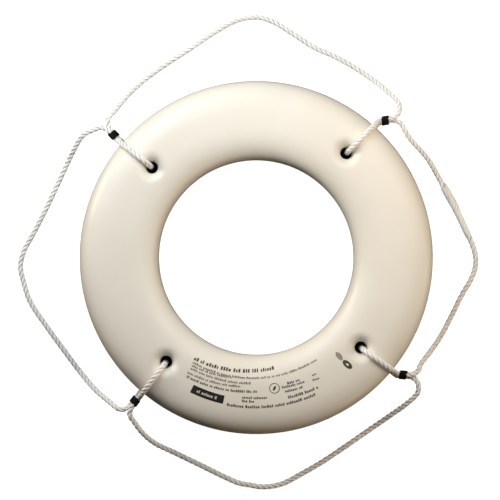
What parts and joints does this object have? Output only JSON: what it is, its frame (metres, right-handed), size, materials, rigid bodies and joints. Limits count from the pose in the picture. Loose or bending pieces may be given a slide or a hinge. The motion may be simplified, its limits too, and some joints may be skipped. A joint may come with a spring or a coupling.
{
  "type": "ring lifebuoy",
  "caption": "Rigid cream-white ring lifebuoy with a looped three-strand grab line threaded through rope holes and held by black seizings.",
  "frame": {"origin": "on the floor, below the centre of the ring, which lies flat on the four ropes that cross its back", "axes": "+Z along the ring's axis, out of its printed front face; +Y to the top of the front face; +X to the right as seen from the front"},
  "size_m": [0.8056, 0.8309, 0.1194],
  "materials": {
    "shell_plastic": "satin",
    "foam": "matte",
    "plug_plastic": "satin",
    "rope_fibre": "matte",
    "seizing_tape": "matte"
  },
  "bodies": {
    "ring": {"ring_shell": "shell_plastic", "foam_core": "foam", "fill_plug": "plug_plastic", "vent_plug": "plug_plastic", "rope_bight_top_right": "rope_fibre", "rope_bight_top_left": "rope_fibre", "rope_bight_bottom_left": "rope_fibre", "rope_bight_bottom_right": "rope_fibre", "seizing_top_right": "seizing_tape", "seizing_top_left": "seizing_tape", "seizing_bottom_left": "seizing_tape", "seizing_bottom_right": "seizing_tape"},
    "top_loop": {"grab_loop_top": "rope_fibre"},
    "left_loop": {"grab_loop_left": "rope_fibre"},
    "bottom_loop": {"grab_loop_bottom": "rope_fibre"},
    "right_loop": {"grab_loop_right_lower": "rope_fibre", "rope_splice": "rope_fibre", "grab_loop_right_upper": "rope_fibre"}
  },
  "joints": [
    {"name": "top_loop_swing", "type": "hinge", "parent": "ring", "child": "top_loop", "pos_m": [0.01324, 0.24461, 0.05961], "axis": [0.9989, -0.0475, 0], "range_deg": [0, 90]},
    {"name": "left_loop_swing", "type": "hinge", "parent": "ring", "child": "left_loop", "pos_m": [-0.25368, -0.00053, 0.05961], "axis": [-0.0038, 1, 0], "range_deg": [0, 90]},
    {"name": "bottom_loop_swing", "type": "hinge", "parent": "ring", "child": "bottom_loop", "pos_m": [0.01259, -0.24717, 0.05961], "axis": [-0.9989, -0.0463, 0], "range_deg": [0, 90]},
    {"name": "right_loop_swing", "type": "hinge", "parent": "ring", "child": "right_loop", "pos_m": [0.26635, -0.00155, 0.05961], "axis": [-0.0028, -1, 0], "range_deg": [0, 90]}
  ]
}
